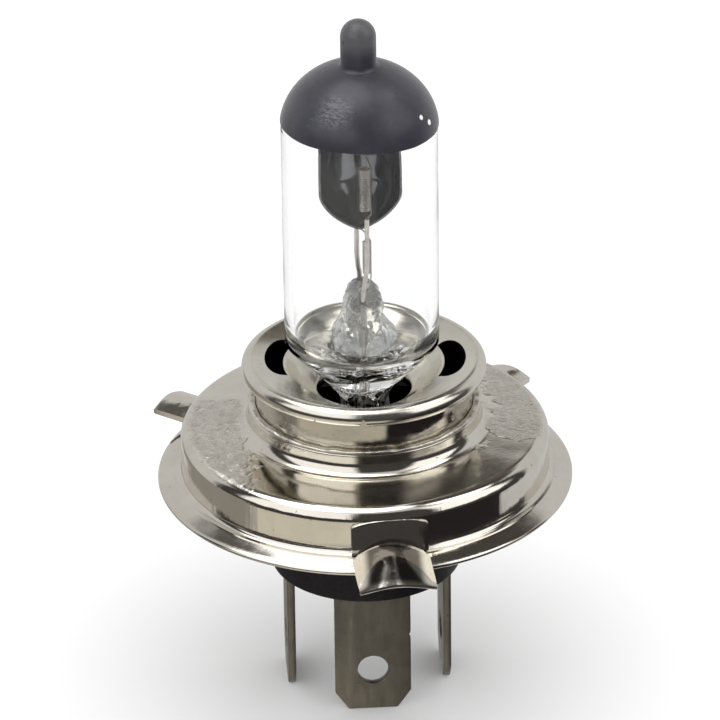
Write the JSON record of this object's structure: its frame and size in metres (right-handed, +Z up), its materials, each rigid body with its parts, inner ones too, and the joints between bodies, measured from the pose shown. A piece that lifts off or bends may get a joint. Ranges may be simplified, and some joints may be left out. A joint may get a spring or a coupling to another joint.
{
  "type": "headlight bulb",
  "caption": "Twin-filament halogen headlight bulb: clear quartz capsule with a dark dome cap on a nickel-plated prefocus flange, flat blades below.",
  "frame": {"origin": "centre of the flat boss at the middle of the black insulator's end face, where a connector stops", "axes": "+Z up the lamp axis towards the dark tip, -Y towards the wide lug and the middle blade, +X towards the main beam blade"},
  "size_m": [0.043, 0.047, 0.0749],
  "materials": {
    "nickel_plate": "bright nickel plate",
    "spring_steel": "satin",
    "solder": "rough, bright",
    "blade_plate": "satin, tarnished",
    "black_moulding": "satin",
    "quartz": "clear",
    "dark_coat": "satin",
    "shield_metal": "dark, bright",
    "molybdenum": "satin, grey-brown",
    "tungsten": "satin"
  },
  "bodies": {
    "root": {"blade_common": "blade_plate", "blade_dipped_beam": "blade_plate", "blade_main_beam": "blade_plate", "dip_shield": "shield_metal", "filament_dipped_beam": "tungsten", "filament_main_beam": "tungsten", "foil_common": "molybdenum", "foil_dipped_beam": "molybdenum", "foil_main_beam": "molybdenum", "holder_plate": "nickel_plate", "insulator": "black_moulding", "joint_bead": "solder", "lead_common": "molybdenum", "lead_dipped_beam": "molybdenum", "lead_main_beam": "molybdenum", "neck_sleeve": "nickel_plate", "pinch_clamp": "spring_steel", "prefocus_flange": "nickel_plate", "quartz_bridge": "quartz", "quartz_envelope": "quartz", "tail_common": "molybdenum", "tail_dipped_beam": "molybdenum", "tail_main_beam": "molybdenum", "top_coating": "dark_coat", "weld_common": "solder", "weld_dipped_beam": "solder", "weld_main_beam": "solder"}
  },
  "joints": []
}
